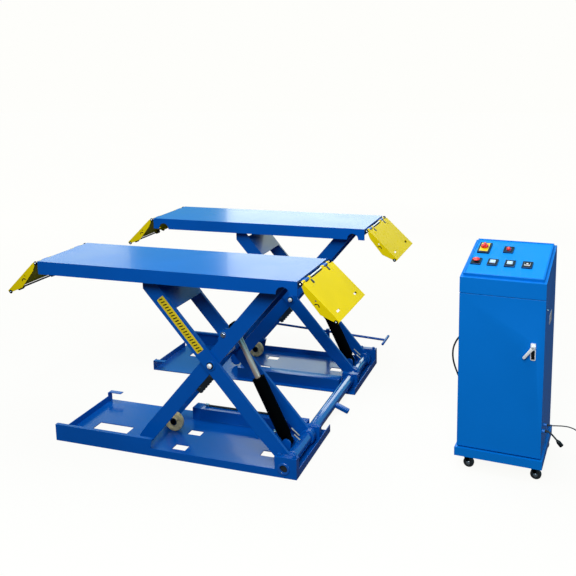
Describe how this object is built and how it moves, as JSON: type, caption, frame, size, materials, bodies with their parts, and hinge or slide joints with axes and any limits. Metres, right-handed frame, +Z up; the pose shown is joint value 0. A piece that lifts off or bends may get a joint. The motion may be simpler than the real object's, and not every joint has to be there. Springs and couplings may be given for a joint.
{
  "type": "portable scissor car lift",
  "caption": "Portable low-profile scissor car lift: paired folding platforms with ramps on floor bases joined by a sync tube, and a wheeled hydraulic control cabinet.",
  "frame": {"origin": "on the floor below the middle of the lift and cabinet together, without the cords", "axes": "+X along the platforms towards the cabinet, +Y from the near lift to the far lift, +Z up"},
  "size_m": [3.4744, 1.955, 1.2194],
  "materials": {
    "blue_paint": "glossy enamel",
    "yellow_paint": "glossy enamel",
    "cabinet_paint": "satin powder coat",
    "black_paint": "gloss paint",
    "chrome": "polished",
    "steel": "zinc plated",
    "rubber": "matte",
    "ivory_roller": "cast nylon",
    "black_plastic": "moulded",
    "red_plastic": "moulded",
    "pale_blue_plastic": "moulded",
    "white_plastic": "moulded",
    "tank_paint": "satin paint"
  },
  "bodies": {
    "frame": {"base_frame_near": "blue_paint", "base_frame_far": "blue_paint", "lift_hose": "rubber", "cabinet_shell": "cabinet_paint", "power_unit": "tank_paint", "hose_free": "rubber", "hose_coil": "rubber", "hose_coupler": "steel", "cable_free": "rubber", "cable_coil": "rubber", "cable_plug": "black_plastic", "pigtail_free": "rubber", "pigtail_plug": "black_plastic"},
    "outer_arms": {"outer_arms_near": "blue_paint", "outer_arms_far": "blue_paint", "centre_shaft_near": "steel", "centre_shaft_far": "steel", "sync_tube": "blue_paint"},
    "inner_arms_near": {"inner_arms_near": "blue_paint", "lock_rack_near": "black_paint"},
    "platform_near": {"deck_near": "blue_paint", "top_shaft_near": "steel"},
    "carriage_near": {"roller_carriage_near": "black_paint"},
    "floor_roller_near": {"base_roller_near": "ivory_roller"},
    "track_roller_near": {"deck_roller_near": "ivory_roller"},
    "barrel_near": {"barrel_near": "black_paint"},
    "rod_near": {"rod_near": "chrome"},
    "ramp_near_left": {"ramp_near_left": "yellow_paint"},
    "ramp_roller_near_left": {"ramp_roller_near_left": "black_plastic"},
    "ramp_near_right": {"ramp_near_right": "yellow_paint"},
    "ramp_roller_near_right": {"ramp_roller_near_right": "black_plastic"},
    "inner_arms_far": {"inner_arms_far": "blue_paint", "lock_rack_far": "black_paint"},
    "platform_far": {"deck_far": "blue_paint", "top_shaft_far": "steel"},
    "carriage_far": {"roller_carriage_far": "black_paint"},
    "floor_roller_far": {"base_roller_far": "ivory_roller"},
    "track_roller_far": {"deck_roller_far": "ivory_roller"},
    "barrel_far": {"barrel_far": "black_paint"},
    "rod_far": {"rod_far": "chrome"},
    "ramp_far_left": {"ramp_far_left": "yellow_paint"},
    "ramp_roller_far_left": {"ramp_roller_far_left": "black_plastic"},
    "ramp_far_right": {"ramp_far_right": "yellow_paint"},
    "ramp_roller_far_right": {"ramp_roller_far_right": "black_plastic"},
    "release_rod": {"release_rod": "blue_paint"},
    "cabinet_door": {"cabinet_door": "cabinet_paint"},
    "door_lever": {"door_lever": "steel"},
    "main_switch": {"main_switch_knob": "red_plastic"},
    "emergency_stop": {"emergency_stop": "red_plastic"},
    "push_button_1": {"push_button_1": "pale_blue_plastic"},
    "push_button_2": {"push_button_2": "pale_blue_plastic"},
    "push_button_3": {"push_button_3": "white_plastic"},
    "caster_fork_front_left": {"caster_fork_front_left": "black_paint"},
    "caster_wheel_front_left": {"caster_wheel_front_left": "rubber"},
    "caster_fork_front_right": {"caster_fork_front_right": "black_paint"},
    "caster_wheel_front_right": {"caster_wheel_front_right": "rubber"},
    "caster_fork_back_left": {"caster_fork_back_left": "black_paint"},
    "caster_wheel_back_left": {"caster_wheel_back_left": "rubber"},
    "caster_fork_back_right": {"caster_fork_back_right": "black_paint"},
    "caster_wheel_back_right": {"caster_wheel_back_right": "rubber"}
  },
  "joints": [
    {"name": "scissor_fold", "type": "hinge", "parent": "frame", "child": "outer_arms", "pos_m": [0.18026, -0.0575, 0.054], "axis": [0, -1, 0], "range_deg": [0, 44.5]},
    {"name": "scissor_pin_near", "type": "hinge", "parent": "outer_arms", "child": "inner_arms_near", "pos_m": [-0.27209, -0.6975, 0.56171], "axis": [0, -1, 0], "range_deg": [-89, 0]},
    {"name": "platform_pivot_near", "type": "hinge", "parent": "inner_arms_near", "child": "platform_near", "pos_m": [0.14175, -0.6975, 1.06554], "axis": [0, -1, 0], "range_deg": [0, 44.5]},
    {"name": "carriage_pivot_near", "type": "hinge", "parent": "inner_arms_near", "child": "carriage_near", "pos_m": [-0.72445, -0.6975, 0.054], "axis": [0, -1, 0], "range_deg": [0, 44.5]},
    {"name": "floor_roller_spin_near", "type": "hinge", "parent": "carriage_near", "child": "floor_roller_near", "pos_m": [-0.65545, -0.6225, 0.066], "axis": [0, -1, 0], "continuous": true},
    {"name": "track_roller_spin_near", "type": "hinge", "parent": "outer_arms", "child": "track_roller_near", "pos_m": [-0.68594, -0.7375, 1.06554], "axis": [0, -1, 0], "continuous": true},
    {"name": "barrel_pivot_near", "type": "hinge", "parent": "frame", "child": "barrel_near", "pos_m": [0.11526, -0.6975, 0.084], "axis": [0, -1, 0], "range_deg": [0, 52.72]},
    {"name": "rod_slide_near", "type": "slide", "parent": "barrel_near", "child": "rod_near", "axis": [-0.4316, 0, 0.9021], "range_m": [-0.28142, 0]},
    {"name": "ramp_hinge_near_left", "type": "hinge", "parent": "platform_near", "child": "ramp_near_left", "pos_m": [-1.31774, -0.7275, 1.10204], "axis": [0, 1, 0], "range_deg": [0, 43.5]},
    {"name": "ramp_roller_spin_near_left", "type": "hinge", "parent": "ramp_near_left", "child": "ramp_roller_near_left", "pos_m": [-1.50555, -0.7275, 0.91788], "axis": [0, -1, 0], "continuous": true},
    {"name": "ramp_hinge_near_right", "type": "hinge", "parent": "platform_near", "child": "ramp_near_right", "pos_m": [0.30426, -0.7275, 1.10204], "axis": [0, -1, 0], "range_deg": [0, 43.5]},
    {"name": "ramp_roller_spin_near_right", "type": "hinge", "parent": "ramp_near_right", "child": "ramp_roller_near_right", "pos_m": [0.49208, -0.7275, 0.91788], "axis": [0, -1, 0], "continuous": true},
    {"name": "scissor_pin_far", "type": "hinge", "parent": "outer_arms", "child": "inner_arms_far", "pos_m": [-0.27209, 0.6145, 0.56171], "axis": [0, -1, 0], "range_deg": [-89, 0]},
    {"name": "platform_pivot_far", "type": "hinge", "parent": "inner_arms_far", "child": "platform_far", "pos_m": [0.14175, 0.6145, 1.06554], "axis": [0, -1, 0], "range_deg": [0, 44.5]},
    {"name": "carriage_pivot_far", "type": "hinge", "parent": "inner_arms_far", "child": "carriage_far", "pos_m": [-0.72445, 0.6145, 0.054], "axis": [0, -1, 0], "range_deg": [0, 44.5]},
    {"name": "floor_roller_spin_far", "type": "hinge", "parent": "carriage_far", "child": "floor_roller_far", "pos_m": [-0.65545, 0.6895, 0.066], "axis": [0, -1, 0], "continuous": true},
    {"name": "track_roller_spin_far", "type": "hinge", "parent": "outer_arms", "child": "track_roller_far", "pos_m": [-0.68594, 0.5745, 1.06554], "axis": [0, -1, 0], "continuous": true},
    {"name": "barrel_pivot_far", "type": "hinge", "parent": "frame", "child": "barrel_far", "pos_m": [0.11526, 0.6145, 0.084], "axis": [0, -1, 0], "range_deg": [0, 52.72]},
    {"name": "rod_slide_far", "type": "slide", "parent": "barrel_far", "child": "rod_far", "axis": [-0.4316, 0, 0.9021], "range_m": [-0.28142, 0]},
    {"name": "ramp_hinge_far_left", "type": "hinge", "parent": "platform_far", "child": "ramp_far_left", "pos_m": [-1.31774, 0.6125, 1.10204], "axis": [0, 1, 0], "range_deg": [0, 43.5]},
    {"name": "ramp_roller_spin_far_left", "type": "hinge", "parent": "ramp_far_left", "child": "ramp_roller_far_left", "pos_m": [-1.50555, 0.6125, 0.91788], "axis": [0, -1, 0], "continuous": true},
    {"name": "ramp_hinge_far_right", "type": "hinge", "parent": "platform_far", "child": "ramp_far_right", "pos_m": [0.30426, 0.6125, 1.10204], "axis": [0, -1, 0], "range_deg": [0, 43.5]},
    {"name": "ramp_roller_spin_far_right", "type": "hinge", "parent": "ramp_far_right", "child": "ramp_roller_far_right", "pos_m": [0.49208, 0.6125, 0.91788], "axis": [0, -1, 0], "continuous": true},
    {"name": "release_slide", "type": "slide", "parent": "frame", "child": "release_rod", "axis": [0.9986, 0, -0.052], "range_m": [0, 0.04]},
    {"name": "door_hinge", "type": "hinge", "parent": "frame", "child": "cabinet_door", "pos_m": [1.0441, -0.55161, 0.56], "axis": [0, 0, -1], "range_deg": [0, 110]},
    {"name": "door_lever_turn", "type": "hinge", "parent": "cabinet_door", "child": "door_lever", "pos_m": [1.42747, -0.58844, 0.747], "axis": [-0.0698, -0.9976, 0], "range_deg": [0, 90]},
    {"name": "main_switch_turn", "type": "hinge", "parent": "frame", "child": "main_switch", "pos_m": [1.13603, -0.24044, 1.17946], "axis": [-0.0159, -0.2267, 0.9738], "range_deg": [0, 90]},
    {"name": "emergency_stop_press", "type": "slide", "parent": "frame", "child": "emergency_stop", "axis": [0.0159, 0.2267, -0.9738], "range_m": [0, 0.006], "stiffness_N_per_m": 600, "springref_m": -0.003},
    {"name": "push_button_press_1", "type": "slide", "parent": "frame", "child": "push_button_1", "axis": [0.0159, 0.2267, -0.9738], "range_m": [0, 0.003], "stiffness_N_per_m": 500, "springref_m": -0.003},
    {"name": "push_button_press_2", "type": "slide", "parent": "frame", "child": "push_button_2", "axis": [0.0159, 0.2267, -0.9738], "range_m": [0, 0.003], "stiffness_N_per_m": 500, "springref_m": -0.003},
    {"name": "push_button_press_3", "type": "slide", "parent": "frame", "child": "push_button_3", "axis": [0.0159, 0.2267, -0.9738], "range_m": [0, 0.003], "stiffness_N_per_m": 500, "springref_m": -0.003},
    {"name": "caster_swivel_front_left", "type": "hinge", "parent": "frame", "child": "caster_fork_front_left", "pos_m": [1.08893, -0.51264, 0.078], "axis": [0, 0, 1], "continuous": true},
    {"name": "caster_roll_front_left", "type": "hinge", "parent": "caster_fork_front_left", "child": "caster_wheel_front_left", "pos_m": [1.10689, -0.51389, 0.029], "axis": [0.0698, 0.9976, 0], "continuous": true},
    {"name": "caster_swivel_front_right", "type": "hinge", "parent": "frame", "child": "caster_fork_front_right", "pos_m": [1.44406, -0.53747, 0.078], "axis": [0, 0, 1], "continuous": true},
    {"name": "caster_roll_front_right", "type": "hinge", "parent": "caster_fork_front_right", "child": "caster_wheel_front_right", "pos_m": [1.46202, -0.53873, 0.029], "axis": [0.0698, 0.9976, 0], "continuous": true},
    {"name": "caster_swivel_back_left", "type": "hinge", "parent": "frame", "child": "caster_fork_back_left", "pos_m": [1.11446, -0.14753, 0.078], "axis": [0, 0, 1], "continuous": true},
    {"name": "caster_roll_back_left", "type": "hinge", "parent": "caster_fork_back_left", "child": "caster_wheel_back_left", "pos_m": [1.13242, -0.14879, 0.029], "axis": [0.0698, 0.9976, 0], "continuous": true},
    {"name": "caster_swivel_back_right", "type": "hinge", "parent": "frame", "child": "caster_fork_back_right", "pos_m": [1.46959, -0.17236, 0.078], "axis": [0, 0, 1], "continuous": true},
    {"name": "caster_roll_back_right", "type": "hinge", "parent": "caster_fork_back_right", "child": "caster_wheel_back_right", "pos_m": [1.48755, -0.17362, 0.029], "axis": [0.0698, 0.9976, 0], "continuous": true}
  ],
  "couplings": [
    {"joint": "scissor_pin_near", "follows": "scissor_fold", "ratio": -2},
    {"joint": "platform_pivot_near", "follows": "scissor_fold", "ratio": 1},
    {"joint": "carriage_pivot_near", "follows": "scissor_fold", "ratio": 1},
    {"joint": "barrel_pivot_near", "follows": "scissor_fold", "ratio": 1.1847},
    {"joint": "rod_slide_near", "follows": "scissor_fold", "m_per_rad": -0.36233},
    {"joint": "scissor_pin_far", "follows": "scissor_fold", "ratio": -2},
    {"joint": "platform_pivot_far", "follows": "scissor_fold", "ratio": 1},
    {"joint": "carriage_pivot_far", "follows": "scissor_fold", "ratio": 1},
    {"joint": "barrel_pivot_far", "follows": "scissor_fold", "ratio": 1.1847},
    {"joint": "rod_slide_far", "follows": "scissor_fold", "m_per_rad": -0.36233}
  ]
}
